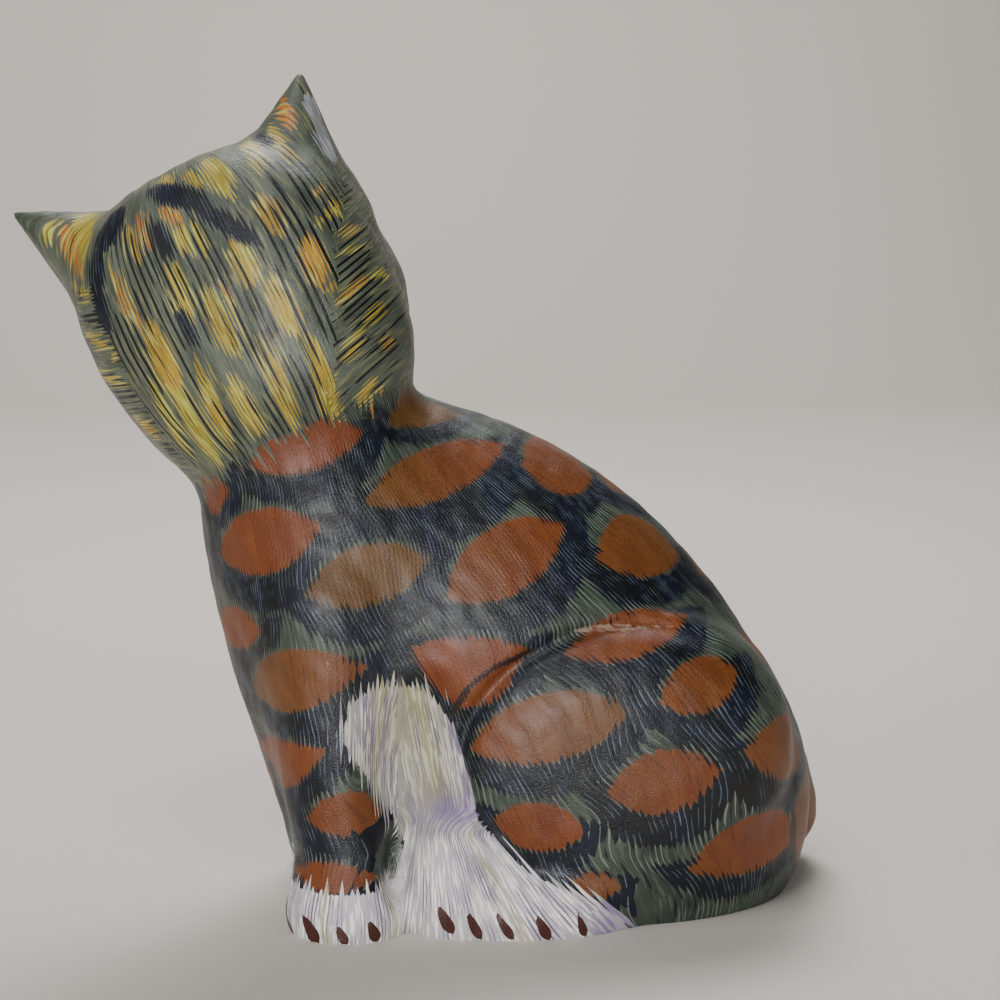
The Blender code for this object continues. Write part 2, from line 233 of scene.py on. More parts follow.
def body_field(points):
    """Trunk, chest and rump, then the legs, their hollows and creases, and the tail."""
    side = mirrored(points, 1)
    foreleg = smooth_union(limb(side, *FORELEG), egg(side, *PAW), LEG_BLEND)
    field = merged(egg(points, *TRUNK), (egg(points, *RUMP), TRUNK_BLEND),
                   (limb(points, *CHEST), TRUNK_BLEND), (foreleg, LEG_BLEND))
    field = smooth_cut(field, egg(side, *HOLLOW), HOLLOW_BLEND)
    field = smooth_union(field, cushion(side, *THIGH), THIGH_BLEND)
    outer = np.clip(side[:, 1] / THIGH[0][1] - 1.0, 0.0, 1.0)
    field = field + CREASE_DEPTH * arc_furrow(side, *CREASE) * outer
    foot = smooth_union(egg(side, *HEEL), egg(side, *TOES), LEG_BLEND)
    field = smooth_union(field, foot, FOOT_BLEND)
    field = smooth_cut(field, egg(side, *NOTCH), NOTCH_BLEND)
    return smooth_union(field, tail_field(points), TAIL_BLEND)


def ear_lines():
    """Root and tip of the right ear and of the left, on the head's own axes."""
    left_root = np.array(EAR_ROOT) * (-1.0, 1.0, 1.0)
    return ((np.array(EAR_ROOT), np.array(RIGHT_EAR_TIP)), (left_root, np.array(LEFT_EAR_TIP)))


def ear_scoop(local, root, tip):
    """Distance to the round bar that hollows an ear out, from near its root to its tip."""
    outward = (np.sign(root[0]), 1.0, 1.0)
    ends = [root + (tip - root) * share + np.array(offset) * outward
            for share, offset in zip(SCOOP_SPAN, SCOOP_OFFSETS)]
    return limb(local, *ends, *SCOOP_RADII)


def head_field(points):
    """Skull, jaw, cheeks and muzzle, then the eyes in their sockets and the scooped ears."""
    local = on_head(points)
    side = mirrored(local, 0)
    muzzle = merged(egg(side, *WHISKER_PAD), (egg(local, *CHIN), MUZZLE_BLEND),
                    (egg(local, *NOSE), MUZZLE_BLEND))
    field = merged(egg(local, *SKULL, squareness=SKULL_SQUARENESS), (egg(local, *JAW), FACE_BLEND),
                   (egg(side, *CHEEK), FACE_BLEND), (limb(local, *BRIDGE), FACE_BLEND),
                   (muzzle, MUZZLE_BLEND))
    field = smooth_cut(field, egg(side, *SOCKET, -EYE_SLANT), SOCKET_BLEND)
    field = smooth_union(field, egg(side, *EYE, -EYE_SLANT), EYE_BLEND)
    for root, tip in ear_lines():
        field = smooth_union(field, limb(local, root, tip, *EAR_RADII), EAR_BLEND)
    for root, tip in ear_lines():
        field = smooth_cut(field, ear_scoop(local, root, tip), SCOOP_BLEND)
    return field


def cat_field(points):
    """The whole figure: body and head run together at the neck."""
    return smooth_union(body_field(points), head_field(points), NECK_BLEND)


def settled(points, field, passes, reach):
    """Moves points along the field's slope by level / slope, at most reach a pass."""
    points = points.copy()
    step = 0.02
    for _ in range(passes):
        level = field(points)
        slope = np.stack([field(points + step * axis) - level for axis in np.eye(3)], axis=1) / step
        move = -(level / np.maximum((slope**2).sum(axis=1), 0.05))[:, None] * slope
        length = np.maximum(np.linalg.norm(move, axis=1, keepdims=True), 1e-9)
        points += move * np.minimum(1.0, reach / length)
    return points


def placed(name, data):
    """A new object of that name in the scene."""
    made = bpy.data.objects.new(name, data)
    bpy.context.scene.collection.objects.link(made)
    return made


def vectors(mesh, what):
    """One vector for each of the mesh's points, its "co" or its "normal", as an array."""
    found = np.empty(len(mesh.vertices) * 3, np.float32)
    mesh.vertices.foreach_get(what, found)
    return found.reshape(-1, 3).astype(float)


def places(mesh):
    """The mesh's points as an array, in millimetres."""
    return vectors(mesh, "co") / MM


def put_places(mesh, points):
    """Moves the mesh's points to an array of places in millimetres."""
    mesh.vertices.foreach_set("co", (points * MM).astype(np.float32).ravel())
    mesh.update()


def applied(piece, kind, **settings):
    """The piece with one modifier made and applied."""
    modifier = piece.modifiers.new(kind.lower(), kind)
    for name, value in settings.items():
        setattr(modifier, name, value)
    evaluated = piece.evaluated_get(bpy.context.evaluated_depsgraph_get())
    finished = bpy.data.meshes.new_from_object(evaluated)
    piece.modifiers.clear()
    piece.data = finished


def fine_carving(node, name):
    """A fine copy of the carved solid: merged, given an even grain, and settled on the field."""
    mesh = node.data.copy()
    bm = bmesh.new()
    bm.from_mesh(mesh)
    bmesh.ops.remove_doubles(bm, verts=bm.verts, dist=1e-6)
    bm.to_mesh(mesh)
    bm.free()
    points = places(mesh)
    points[points[:, 2] < SAW_TOLERANCE, 2] = -SKIRT
    put_places(mesh, points)
    mesh.materials.clear()
    piece = placed(name, mesh)
    applied(piece, "REMESH", mode="VOXEL", voxel_size=GRAIN * MM, adaptivity=0.0)
    points = places(piece.data)
    above = points[:, 2] > -0.5 * SKIRT
    points[above] = settled(points[above], cat_field, SETTLING, GRAIN)
    put_places(piece.data, points)
    applied(piece, "SMOOTH", factor=0.5, iterations=2)
    points = places(piece.data)
    points[above] = settled(points[above], cat_field, SETTLING, GRAIN)
    put_places(piece.data, points)
    return piece


def saw_sole(mesh):
    """Saws the figure off flat at the ground and closes the cut, which may have islands in it."""
    bm = bmesh.new()
    bm.from_mesh(mesh)
    block = [*bm.verts, *bm.edges, *bm.faces]
    bmesh.ops.bisect_plane(bm, geom=block, dist=SAW_TOLERANCE * MM, plane_no=(0.0, 0.0, -1.0),
                           clear_outer=True)
    rim = [edge for edge in bm.edges if edge.is_boundary]
    for vertex in {vertex for edge in rim for vertex in edge.verts}:
        vertex.co.z = 0.0
    bmesh.ops.triangle_fill(bm, edges=rim, use_beauty=True)
    bmesh.ops.recalc_face_normals(bm, faces=bm.faces)
    for face in bm.faces:
        face.smooth = True
    for edge in rim:
        edge.smooth = False
    bm.to_mesh(mesh)
    bm.free()


cat = fine_carving(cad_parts["cat"], "wooden_cat")
saw_sole(cat.data)


# What the knife left: long shallow facets under the paint, grooves between the toes, a groove for
# the mouth with two nostrils above it, and a rim round each eye.
FACET = 0.11
FACET_WAVES = ((0.62, 0.31, 0.22), (-0.35, 0.44, 0.55), (0.18, -0.52, 0.71), (0.83, 0.12, -0.40))
TOE_DEPTH = 0.45
TOE_WIDTH = 1.1
TOE_LINES = (-43.4, -37.6, -20.0, -14.6, -8.4, -1.6)
TOE_LEAN = 0.12
PAW_FRONT = -30.0
MOUTH_DEPTH = 0.5
MOUTH_WIDTH = 0.8
MOUTH_DROP = 0.45
MOUTH_BEND = 2.6
MOUTH_UP = -14.6
NOSTRIL = ((1.5, -8.6), 0.8, 0.5)
EYE_SPREAD = (5.0, 3.1)
EYELID = (1.1, 0.9, 0.35)


def ramp(value, low, high):
    """A smooth step from 0 at low to 1 at high."""
    share = np.clip((value - low) / (high - low), 0.0, 1.0)
    return share * share * (3.0 - 2.0 * share)


def eye_almond(side):
    """How deep a point of the face lies inside an eye's outline: two arcs that meet at its ends."""
    c, s = cos(radians(EYE_SLANT)), sin(radians(EYE_SLANT))
    x, y = side[:, 0] - EYE[0][0], side[:, 2] - EYE[0][2]
    return EYE_SPREAD[1] * (1.0 - ((x * c + y * s) / EYE_SPREAD[0]) ** 2) - np.abs(y * c - x * s)


def relief(points):
    """How far the finished surface stands above the field: sums of waves and bell curves."""
    phases = points @ np.array(FACET_WAVES).T + np.arange(len(FACET_WAVES))
    height = FACET * np.sin(phases[:, 0] + np.sin(phases[:, 1]))
    height *= np.sin(phases[:, 2] + phases[:, 3] * 0.5)
    low = ramp(points[:, 2], 13.0, 5.0) * ramp(np.abs(points[:, 1]), 12.0, 18.0)
    for x in TOE_LINES:
        lean = TOE_LEAN * (points[:, 2] - 4.0) * (x > PAW_FRONT)
        height -= TOE_DEPTH * low * np.exp(-((points[:, 0] - x + lean) / TOE_WIDTH) ** 2)
    side = mirrored(on_head(points), 0)
    front = ramp(side[:, 1], 15.0, 18.0)
    curve = MOUTH_UP + MOUTH_DROP * np.abs(side[:, 0] - MOUTH_BEND)
    line = np.exp(-((side[:, 2] - curve) / MOUTH_WIDTH) ** 2) * ramp(side[:, 0], 6.8, 5.6)
    split = np.exp(-(side[:, 0] / MOUTH_WIDTH) ** 2)
    split *= ramp(side[:, 2], MOUTH_UP, MOUTH_UP + 1.0) * ramp(side[:, 2], -9.0, -10.0)
    height -= MOUTH_DEPTH * front * np.maximum(line, split)
    (x, z), radius, depth = NOSTRIL
    height -= depth * front * np.exp(-(((side[:, 0] - x) ** 2 + (side[:, 2] - z) ** 2) / radius**2))
    offset, width, rise = EYELID
    lid = np.exp(-((eye_almond(side) + offset) / width) ** 2)
    height += rise * lid * ramp(side[:, 1], 9.0, 11.0)
    return height * ramp(points[:, 2], 0.3, 1.5)


surface = places(cat.data)
surface = surface + vectors(cat.data, "normal") * relief(surface)[:, None]
surface = np.clip(surface, np.array(cad_box[0]) / MM, np.array(cad_box[1]) / MM)
put_places(cat.data, surface)
normals = vectors(cat.data, "normal")


# The lie of the fur. Every stroke of the brush follows it: on the body the strokes fan out from a
# point above the neck and run down to the rump, on the back of the head they run from the crown to
# the nape, and on the cheeks they sweep outwards.
FUR_APEX = (-85.0, 0.0, 201.0)
FUR_FALL = 65.0
FUR_REACH = 150.0
FUR_FLATTEN = 0.65
PARTING = 3.0
BODY_GIRTH = 30.0
HEAD_GIRTH = 21.0
CROWN_SETBACK = 3.0
CHEEK_RISE = 20.0


def keep(name, *columns):
    """Keeps up to three numbers a point on the mesh, as one vector attribute."""
    packed = np.zeros((len(surface), 3), np.float32)
    for k, numbers in enumerate(columns):
        packed[:, k] = numbers
    column = cat.data.attributes.new(name, "FLOAT_VECTOR", "POINT")
    column.data.foreach_set("vector", packed.ravel())


def parted(off, width):
    """Tells the two sides of a parting: off / width held between -1 and 1, times PARTING."""
    return PARTING * np.clip(off / width, -1.0, 1.0)


def body_lie(points):
    """Across and along the strokes: the turn round a leaning axis, times a girth, and the distance
    down from the apex. Both sides part at the spine and at the breast."""
    c, s = cos(radians(FUR_FALL)), sin(radians(FUR_FALL))
    away = points - np.array(FUR_APEX)
    along = away[:, 0] * c - away[:, 2] * s
    spread = (away[:, 0] * s + away[:, 2] * c) * FUR_REACH / along
    across = BODY_GIRTH * np.arctan2(np.abs(points[:, 1]), FUR_FLATTEN * spread)
    return across, along, parted(points[:, 1], 5.0)


def head_lie(points):
    """Across is the turn round the head's own upright, times a girth, and along is the way down."""
    local = on_head(points)
    turn = np.arctan2(local[:, 0], CROWN_SETBACK - local[:, 1])
    return HEAD_GIRTH * turn, -local[:, 2], np.zeros(len(points))


def cheek_lie(points):
    """The head's lie turned over until the strokes run outwards and a little up."""
    across, down, _ = head_lie(points)
    c, s = cos(radians(CHEEK_RISE)), sin(radians(CHEEK_RISE))
    out = np.abs(across)
    return down * c + out * s, out * c - down * s, parted(across, 5.0)


# The spots: rust brown, each a lens between two tips, in staggered rows like scales, laid over a
# grey green ground, and each with a crescent of blue black strokes below it. They were painted by
# eye, so each is placed one by one: its left tip, its right tip, its upper and its lower edge, as
# seen in a picture 1000 pixels wide from the figure's left. Then come how olive its two ends are
# and the crescent's thickness.
PICTURE = 1000.0
LENS_RATIO = 1.7
VIEW_TURN = 5.0
VIEW_DIP = 6.7
VIEW_PLACE = (-35.11, -309.82, 110.0)
EYE_DISTANCE = 290.0
PIXELS_PER_MM = 5.8
BAND = 5.6
BAND_TAPER = 0.30
HORN = 2.6
BAND_LAP = 0.8
TIP_POWER = 2.3
SPOT_REACH = 9.0
FAN_REACH = 2.2
FAN_EASE = 0.35
SPOTS = (
    (245, 467, 368, 431, 300, 420, 290, 482, 0.1, 0.2, 34),
    (360, 506, 508, 443, 428, 447, 418, 513, 0.9, 0.1, 42),
    (519, 463, 596, 478, 555, 440, 551, 496, 0.4, 0.3, 24),
    (218, 556, 326, 522, 255, 507, 255, 581, 0.2, 0.2, 35),
    (302, 597, 432, 556, 368, 543, 345, 620, 1.0, 1.0, 33),
    (443, 603, 567, 523, 488, 527, 522, 592, 0.5, 0.2, 36),
    (591, 560, 681, 555, 628, 513, 620, 583, 0.5, 0.6, 30),
    (216, 632, 264, 629, 236, 604, 239, 652, 0.2, 0.3, 34),
    (252, 691, 375, 664, 296, 646, 300, 713, 0.9, 0.4, 33),
    (404, 648, 532, 645, 466, 634, 458, 712, 0.1, 0.2, 34),
    (557, 655, 689, 615, 630, 608, 612, 671, 0.3, 0.2, 32),
    (656, 703, 742, 668, 713, 648, 690, 724, 0.4, 0.5, 31),
    (466, 748, 634, 711, 540, 693, 530, 769, 0.3, 0.9, 31),
    (737, 754, 802, 752, 767, 713, 763, 783, 0.5, 0.6, 33),
    (604, 793, 724, 768, 668, 747, 652, 820, 0.4, 0.3, 32),
    (257, 742, 333, 747, 283, 736, 291, 792, 0.2, 0.2, 28),
    (303, 818, 387, 812, 350, 791, 342, 837, 0.2, 0.4, 32),
    (489, 818, 588, 833, 545, 802, 540, 853, 0.3, 0.1, 28),
    (682, 872, 798, 830, 752, 816, 732, 878, 0.4, 0.2, 24),
    (568, 880, 626, 886, 598, 870, 612, 905, 0.3, 0.6, 20),
    (288, 866, 392, 880, 340, 860, 340, 898, 0.2, 0.3, 20),
    (193, 476, 232, 492, 212, 470, 210, 517, 0.2, 0.2, 36),
    (385, 424, 464, 414, 424, 398, 428, 428, 1.0, 1.0, 18),
    (791, 814, 818, 812, 806, 768, 803, 866, 0.6, 0.6, 12),
)
# Spots that can't be seen from there, on the spine and on the breast: centre, half length towards
# the far side and half height, in millimetres
HIDDEN_SPOTS = (
    (14.0, 3.0, 79.0, 8.5, 5.5),
    (30.0, 4.0, 62.0, 9.0, 6.0),
    (41.0, -3.0, 45.0, 8.0, 6.0),
    (-17.0, 6.0, 92.0, 8.0, 5.0),
    (-60.0, 2.0, 68.0, 7.5, 6.0),
    (-58.0, -1.0, 52.0, 5.5, 5.5),
    (-54.0, 1.0, 37.0, 6.5, 5.5),
    (-50.0, -1.0, 24.0, 5.5, 5.0),
)


class Eye:
    """Where the picture is seen from: a place in millimetres and its forward, right and up axes."""

    c, s = cos(radians(VIEW_DIP)), sin(radians(VIEW_DIP))
    level = np.array([sin(radians(VIEW_TURN)), cos(radians(VIEW_TURN)), 0.0])
    place = np.array(VIEW_PLACE)
    forward = level * c - np.array([0.0, 0.0, s])
    right = np.array([level[1], -level[0], 0.0])
    up = level * s + np.array([0.0, 0.0, c])


def pictured(points):
    """Where points fall in the picture, in pixels, and how far off they are."""
    away = points - Eye.place
    depth = away @ Eye.forward
    reach = LENS_RATIO * PICTURE / depth
    half = PICTURE / 2.0
    x, y = half + reach * (away @ Eye.right), half - reach * (away @ Eye.up)
    return np.stack([x, y], axis=1), depth


seen_at, seen_depth = pictured(surface)
facing = ((Eye.place - surface) * normals).sum(axis=1) > 0.0


def spread(values, passes):
    """Evens values out over the mesh: each pass moves every point half way to the mean of the
    points that an edge joins it to."""
    for _ in range(passes):
        total = np.bincount(edges[:, 0], values[edges[:, 1]], len(values))
        total += np.bincount(edges[:, 1], values[edges[:, 0]], len(values))
        values = 0.5 * values + 0.5 * total / joined
    return values


edges = np.empty(len(cat.data.edges) * 2, np.int32)
cat.data.edges.foreach_get("vertices", edges)
edges = edges.reshape(-1, 2)
joined = np.bincount(edges.ravel(), minlength=len(surface))


def under(pixel):
    """The nearest seen point of the surface to a pixel, and its normal."""
    off = np.hypot(*(seen_at - np.array(pixel)).T)
    close = facing & (off < 5.0)
    if close.any():
        close &= seen_depth < seen_depth[close].min() + 4.0
    else:
        close = facing
    nearest = np.where(close, off, 1e9).argmin()
    return surface[nearest], normals[nearest]


def unit(vector):
    """The vector over its own length."""
    return vector / np.linalg.norm(vector)


class Patch:
    """A patch's own frame: its middle, its long axis and half length, its way down, and how far it
    bulges up and down."""

    def __init__(self, left, right, normal, top=None, bottom=None, bulge=None):
        self.middle = (left + right) / 2.0
        self.half = np.linalg.norm(right - left) / 2.0
        self.long = (right - left) / (2.0 * self.half)
        self.out = unit(normal - (normal @ self.long) * self.long)
        self.down = np.cross(self.out, self.long)
        if self.down[2] > 0.0:
            self.down = -self.down
        if bulge is None:
            bulge = (-(top - self.middle) @ self.down, (bottom - self.middle) @ self.down)
        self.up_bulge, self.down_bulge = bulge
        self.band = BAND

    def shares(self, points):
        """Along in half lengths, down in millimetres, and how far off the patch's plane."""
        away = points - self.middle
        return away @ self.long / self.half, away @ self.down, np.abs(away @ self.out)

    def mirror(self, shift):
        """The same patch on the far side, moved by shift."""
        twin = copy(self)
        flip = np.array([1.0, -1.0, 1.0])
        twin.middle = self.middle * flip + np.array(shift)
        twin.long, twin.out, twin.down = self.long * flip, self.out * flip, self.down * flip
        return twin


def spot_patches():
    """The seen spots, their shifted mirror images on the far flank, and the hidden ones."""
    found = []
    for row in SPOTS:
        ends, ways = zip(*(under(row[k:k + 2]) for k in (0, 2, 4, 6)))
        left, right, top, bottom = ends
        patch = Patch(left, right, unit(sum(ways)), top, bottom)
        patch.band = row[10] / PIXELS_PER_MM
        found.append((patch, row[8], row[9]))
    rng = np.random.default_rng(4)
    for patch, warm_left, warm_right in found[:]:
        shift = (rng.uniform(-2.0, 2.0), 0.0, rng.uniform(-2.0, 2.0))
        found.append((patch.mirror(shift), warm_right, warm_left))
    for x, y, z, half, height in HIDDEN_SPOTS:
        nearest = np.linalg.norm(surface - np.array([x, y, z]), axis=1).argmin()
        place, normal = surface[nearest], normals[nearest]
        aside = half * unit(np.array([0.0, 1.0, 0.0]) - normal[1] * normal)
        patch = Patch(place - aside, place + aside, normal, bulge=(height, height))
        found.append((patch, 0.4, 0.3))
    return found


def paint_spots(points):
    """How deep each point lies inside a spot and inside a blue black band, in millimetres, how
    olive the spot is there, and how far the strokes fan."""
    patches = spot_patches()
    depths, rings, leans = [], [], []
    for patch, _, _ in patches:
        along, down, off = patch.shares(points)
        beyond = np.maximum(off - SPOT_REACH, 0.0)
        size = np.minimum(np.abs(along), 3.0)
        body = 1.0 - size ** TIP_POWER
        lean = TIP_POWER * size ** (TIP_POWER - 1.0) / patch.half
        above = (down + patch.up_bulge * body) / np.hypot(1.0, patch.up_bulge * lean)
        below = (patch.down_bulge * body - down) / np.hypot(1.0, patch.down_bulge * lean)
        depths.append(np.minimum(above, below) - beyond)
        ring = below + patch.band * (1.1 - BAND_TAPER * size**2)
        rings.append(np.minimum(ring, down + HORN) - beyond)
        leans.append((along, down))
    ranked = np.sort(np.array(depths), axis=0)
    spot, second = ranked[-1], ranked[-2]
    band = np.full(len(points), OUTSIDE)
    olive = np.zeros(len(points))
    fan = np.zeros(len(points))
    weight = np.full(len(points), FAN_EASE)
    for (patch, left, right), depth, ring, (along, down) in zip(patches, depths, rings, leans):
        others = np.where(depth == spot, second, spot)
        ring = np.minimum(np.minimum(ring, BAND_LAP - depth), -others)
        band = np.maximum(band, ring)
        share = left + (right - left) * (0.5 + 0.5 * np.clip(along, -1.0, 1.0))
        olive = np.where(depth == spot, share, olive)
        near = np.exp(-np.maximum(-np.maximum(depth, ring), 0.0) / 2.0)
        fall = np.clip(down / (FAN_REACH * patch.half + np.maximum(down, 0.0)), -0.2, 0.35)
        fan -= near * np.clip(along, -1.5, 1.5) * patch.half * fall
        weight += near
    return spot, band, spread(olive, 6), spread(fan / weight, 40)


spot, band, olive, fan = paint_spots(surface)
across, along, side = body_lie(surface)
keep("body_lie", across + fan, along, side)
keep("head_lie", *head_lie(surface))
keep("cheek_lie", *cheek_lie(surface))


# The painted head. A grey green ground under feathery patches of yellow, lime and orange strokes,
# long black hairs between them, and a few bold blue black marks. Each patch runs from one end of
# its strokes to the other, with its half width, and says how orange it is.
FEATHERS = (
    (136, 211, 153, 256, 8, 0.9), (127, 223, 145, 268, 7, 0.4), (160, 205, 184, 221, 7, 0.9),
    (179, 222, 190, 255, 7, 0.2), (191, 222, 207, 258, 7, 0.2), (168, 262, 195, 333, 12, 0.2),
    (205, 288, 239, 360, 12, 0.3), (216, 284, 234, 308, 4, 0.9), (228, 236, 257, 294, 12, 0.3),
    (248, 242, 263, 277, 6, 0.2), (256, 194, 283, 238, 11, 0.5), (304, 232, 323, 290, 13, 0.7),
    (268, 272, 297, 343, 14, 0.3), (262, 328, 298, 430, 13, 0.3), (308, 334, 338, 426, 11, 0.3),
    (149, 319, 181, 402, 13, 0.4), (108, 260, 144, 342, 6, 0.7), (196, 355, 236, 450, 10, 0.3),
    (228, 374, 263, 440, 8, 0.2), (168, 372, 222, 472, 9, 0.1), (150, 372, 196, 462, 7, 0.1),
    (164, 176, 176, 192, 8, 0.4), (205, 158, 236, 200, 13, 0.2), (188, 170, 204, 190, 8, 0.3),
    (246, 140, 262, 176, 10, 0.1), (281, 92, 290, 134, 8, 1.0), (268, 122, 290, 165, 9, 0.3),
    (60, 222, 84, 280, 8, 0.9), (92, 212, 84, 262, 8, 0.2), (46, 220, 54, 246, 6, 0.1),
    (337, 303, 367, 276, 7, 0.6), (325, 293, 337, 281, 5, 0.5), (341, 363, 365, 328, 7, 0.2),
    (378, 350, 395, 335, 5, 0.6), (358, 406, 373, 379, 5, 0.4), (366, 420, 389, 387, 8, 0.7),
    (313, 226, 342, 202, 6, 0.2), (308, 198, 322, 189, 4, 0.8), (338, 236, 359, 227, 4, 0.6),
    (337, 254, 373, 246, 4, 0.1), (364, 325, 389, 305, 6, 0.2), (371, 279, 389, 274, 5, 0.1),
    (84, 330, 112, 348, 6, 0.3), (96, 372, 128, 384, 6, 0.1), (132, 416, 160, 436, 6, 0.5),
    (72, 284, 92, 296, 5, 0.1), (112, 352, 118, 360, 5, 0.2),
)
HAIRS = (
    (196, 231, 264, 323, 6), (262, 210, 338, 380, 7), (272, 176, 314, 226, 8),
    (284, 160, 318, 192, 5), (150, 232, 200, 305, 6), (112, 320, 156, 386, 7),
    (120, 236, 146, 280, 5), (173, 306, 199, 352, 6), (230, 300, 290, 400, 5),
    (316, 330, 343, 388, 7), (186, 372, 240, 460, 6), (140, 290, 176, 352, 4),
    (256, 390, 290, 445, 6), (240, 196, 272, 240, 5), (150, 400, 190, 462, 6),
    (296, 372, 326, 432, 5), (325, 283, 365, 252, 8), (351, 319, 383, 285, 8),
    (353, 370, 375, 343, 7), (361, 380, 395, 343, 9), (316, 244, 340, 224, 5),
    (324, 198, 346, 189, 5), (347, 244, 367, 228, 4), (388, 316, 403, 295, 4),
    (90, 318, 106, 328, 4), (100, 384, 136, 400, 6), (76, 300, 98, 312, 4), (250, 156, 290, 222, 9),
    (286, 150, 322, 214, 9), (300, 214, 336, 286, 8),
)
MARKS = (
    (146, 190, 216, 208, 12), (188, 203, 262, 245, 12), (124, 204, 100, 256, 9),
    (101, 244, 98, 302, 9), (97, 288, 110, 336, 8), (153, 219, 170, 262, 9),
    (176, 308, 198, 350, 6), (254, 134, 274, 148, 5),
)
EAR_STRIP = ((308, 92, 322, 130, 7), (318, 118, 336, 164, 6))
# Old scratches down to the primer, and painted shadow in the creases in front of the thigh and
# along the tail
SCRATCHES = (
    (560, 633, 676, 627, 1.6), (584, 629, 640, 625, 1.2), (329, 660, 334, 700, 1.0),
    (399, 590, 403, 593, 1.6),
)
DARK_TUFT = ((627, 898, 633, 919, 6),)
CREASE_SHADOWS = (
    (451, 716, 470, 684, 2), (466, 688, 500, 664, 2), (496, 668, 534, 650, 2),
    (793, 806, 790, 866, 3),
)


STROKE_REACH = 6.0


def stroke_patches(rows):
    """Each row's patch, as long as its strokes and as wide as they spread."""
    found = []
    widest = np.array((0.8, 2.0)) / PIXELS_PER_MM
    for u0, v0, u1, v1, width, *rest in rows:
        (start, n1), (end, n2) = under((u0, v0)), under((u1, v1))
        patch = Patch(start, end, unit(n1 + n2), bulge=(0.0, 0.0))
        middle = np.array([u0 + u1, v0 + v1]) / 2.0
        aside = unit(np.array([v0 - v1, u1 - u0], float)) * width
        one, other = under(middle + aside)[0], under(middle - aside)[0]
        half_width = np.clip(abs((one - other) @ patch.down) / 2.0, *(widest * width))
        patch.up_bulge = patch.down_bulge = half_width
        found.append((patch, *rest))
    return found


def deepest(points, patches):
    """How deep each point lies inside the nearest patch, and which patch that is."""
    depth = np.full(len(points), OUTSIDE)
    which = np.zeros(len(points), int)
    for k, (patch, *_) in enumerate(patches):
        along, down, off = patch.shares(points)
        inside = patch.up_bulge * (1.0 - np.abs(along) ** 3.0) - np.abs(down)
        inside = np.maximum(inside, OUTSIDE) - np.maximum(off - STROKE_REACH, 0.0)
        which = np.where(inside > depth, k, which)
        depth = np.maximum(depth, inside)
    return depth, which


feather, which = deepest(surface, stroke_patches(FEATHERS))
orangeness = np.array([row[5] for row in FEATHERS])[which]
hairs, marks, strip, scratches, crease_shadows, tuft = (
    deepest(surface, stroke_patches(rows))[0]
    for rows in (HAIRS, MARKS, EAR_STRIP, SCRATCHES, CREASE_SHADOWS, DARK_TUFT))
band = np.maximum(band, tuft)
keep("feathers", feather, orangeness, hairs)

# Where the head's paint ends at the neck, how far its front dips, and where the cheeks begin: the
# turn in degrees on the right and on the left, and the height where each edge bends
NECKLINE = -29.5
THROAT_DIP = 6.0
HEAD_REACH = 52.0
EAR_FOOT = 10.0
RIGHT_CHEEK = (58.0, -2.5)
LEFT_CHEEK = (-44.0, -3.0)
local = on_head(surface)
turn = np.degrees(np.arctan2(local[:, 0], -local[:, 1]))
head_depth = local[:, 2] - NECKLINE + THROAT_DIP * ramp(local[:, 1], 0.0, 12.0)
head_depth = np.where(np.linalg.norm(local, axis=1) < HEAD_REACH, head_depth, OUTSIDE)
rise = local[:, 2] - RIGHT_CHEEK[1]
right_edge = RIGHT_CHEEK[0] + np.where(rise > 0.0, 2.1, 0.95) * rise
left_edge = LEFT_CHEEK[0] + 0.45 * np.minimum(local[:, 2] - LEFT_CHEEK[1], 0.0)
cheek_depth = np.maximum(turn - right_edge, left_edge - turn) * HEAD_GIRTH * radians(1.0)
cheek_depth = np.minimum(cheek_depth, EAR_FOOT - local[:, 2])
keep("regions", head_depth, cheek_depth, marks)


# The face, on the side turned away. The strokes run outwards from the nose; the muzzle is white,
# and the lining of each ear is pale lavender.
NOSE_UP = -8.0
FACE_GIRTH = 15.0
FACE_FRONT = 8.5
FACE_TOP = 17.5
MUZZLE_FRONT = 11.0
LINING_RIM = 0.9
MUZZLE = ((0.0, -14.0), (10.0, 8.5))
face_across = FACE_GIRTH * np.arctan2(local[:, 2] - NOSE_UP, np.abs(local[:, 0]) + 0.5)
face_along = np.hypot(local[:, 0], local[:, 2] - NOSE_UP)
keep("face_lie", face_across, face_along, parted(local[:, 0], 2.0))
face_depth = np.minimum(local[:, 1] - FACE_FRONT, FACE_TOP - local[:, 2])
from_muzzle = np.hypot(*((local[:, ::2] - np.array(MUZZLE[0])) / np.array(MUZZLE[1])).T)
muzzle_depth = np.minimum((1.0 - from_muzzle) * MUZZLE[1][1], local[:, 1] - MUZZLE_FRONT)
lining = LINING_RIM - np.minimum(*(ear_scoop(local, root, tip) for root, tip in ear_lines()))
keep("face", face_depth, muzzle_depth, np.maximum(lining, strip))
keep("head_place", local[:, 0], local[:, 1], local[:, 2])
turned_away = ramp(((Eye.place - surface) * normals).sum(axis=1) / EYE_DISTANCE, 0.35, 0.05)
